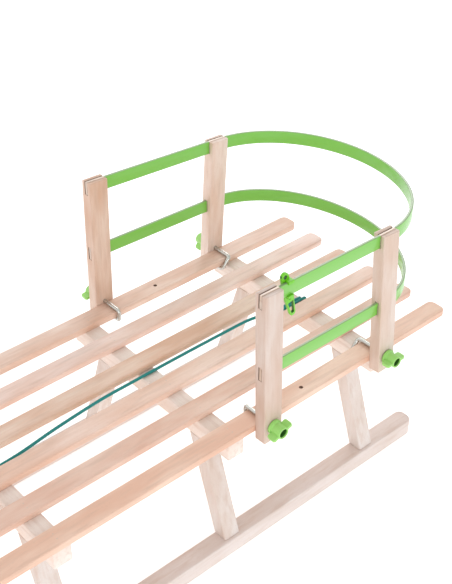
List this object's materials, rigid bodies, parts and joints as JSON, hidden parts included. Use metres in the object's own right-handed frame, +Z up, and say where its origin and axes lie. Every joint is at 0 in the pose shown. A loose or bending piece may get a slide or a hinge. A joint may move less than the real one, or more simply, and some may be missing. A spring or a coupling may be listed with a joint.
{
  "type": "wooden sledge with backrest",
  "caption": "Slatted wooden sledge on bent runners with a clamped child's backrest of posts and green bent bands, and a tow cord.",
  "frame": {"origin": "on the ground, under the middle of the bounding box", "axes": "+Z up, -Y towards the upturned front of the runners, +X to the right when seen from the front"},
  "size_m": [0.4172, 1, 0.4397],
  "materials": {
    "beech": "clear satin lacquer on pale beech",
    "green_wood": "glossy green lacquer on bent wood",
    "green_plastic": "moulded, light gloss",
    "lime_plastic": "moulded, light gloss",
    "zinc_steel": "zinc plated",
    "screw_steel": "plain",
    "cord": "braided"
  },
  "bodies": {
    "sledge": {"seat_slat_1": "beech", "seat_slat_2": "beech", "seat_slat_3": "beech", "seat_slat_4": "beech", "seat_slat_5": "beech", "seat_slat_6": "beech", "rear_crossbeam": "beech", "rear_leg_left": "beech", "rear_leg_right": "beech", "middle_crossbeam": "beech", "middle_leg_left": "beech", "middle_leg_right": "beech", "front_crossbeam": "beech", "front_leg_left": "beech", "front_leg_right": "beech", "runner_left": "beech", "runner_strip_left": "zinc_steel", "strip_screw_left_1": "screw_steel", "strip_screw_left_2": "screw_steel", "strip_screw_left_3": "screw_steel", "front_bar_screw_left": "screw_steel", "runner_right": "beech", "runner_strip_right": "zinc_steel", "strip_screw_right_1": "screw_steel", "strip_screw_right_2": "screw_steel", "strip_screw_right_3": "screw_steel", "front_bar_screw_right": "screw_steel", "front_bar": "beech", "tow_cord": "cord"},
    "backrest": {"backrest_post_front_left": "beech", "hook_bolt_front_left": "zinc_steel", "backrest_post_rear_left": "beech", "hook_bolt_rear_left": "zinc_steel", "backrest_post_front_right": "beech", "hook_bolt_front_right": "zinc_steel", "backrest_post_rear_right": "beech", "hook_bolt_rear_right": "zinc_steel", "backrest_band_upper": "green_wood", "backrest_band_lower": "green_wood"},
    "wing_nut_front_left": {"wing_nut_front_left": "green_plastic", "steel_nut_front_left": "screw_steel"},
    "wing_nut_rear_left": {"wing_nut_rear_left": "green_plastic", "steel_nut_rear_left": "screw_steel"},
    "wing_nut_front_right": {"wing_nut_front_right": "green_plastic", "steel_nut_front_right": "screw_steel"},
    "wing_nut_rear_right": {"wing_nut_rear_right": "green_plastic", "steel_nut_rear_right": "screw_steel"},
    "clip": {"band_clip": "lime_plastic"}
  },
  "joints": [
    {"name": "backrest_slide", "type": "slide", "parent": "sledge", "child": "backrest", "axis": [0, 1, 0], "range_m": [-0.024, 0.002]},
    {"name": "wing_nut_front_left_turn", "type": "hinge", "parent": "backrest", "child": "wing_nut_front_left", "pos_m": [-0.19, 0.134, 0.2256], "axis": [-1, 0, 0], "range_deg": [0, 720]},
    {"name": "wing_nut_rear_left_turn", "type": "hinge", "parent": "backrest", "child": "wing_nut_rear_left", "pos_m": [-0.19, 0.349, 0.2256], "axis": [-1, 0, 0], "range_deg": [0, 720]},
    {"name": "wing_nut_front_right_turn", "type": "hinge", "parent": "backrest", "child": "wing_nut_front_right", "pos_m": [0.19, 0.134, 0.2256], "axis": [1, 0, 0], "range_deg": [0, 720]},
    {"name": "wing_nut_rear_right_turn", "type": "hinge", "parent": "backrest", "child": "wing_nut_rear_right", "pos_m": [0.19, 0.349, 0.2256], "axis": [1, 0, 0], "range_deg": [0, 720]},
    {"name": "clip_slide", "type": "slide", "parent": "backrest", "child": "clip", "axis": [-0.029, 0.9984, -0.0479], "range_m": [-0.005, 0.142]}
  ]
}
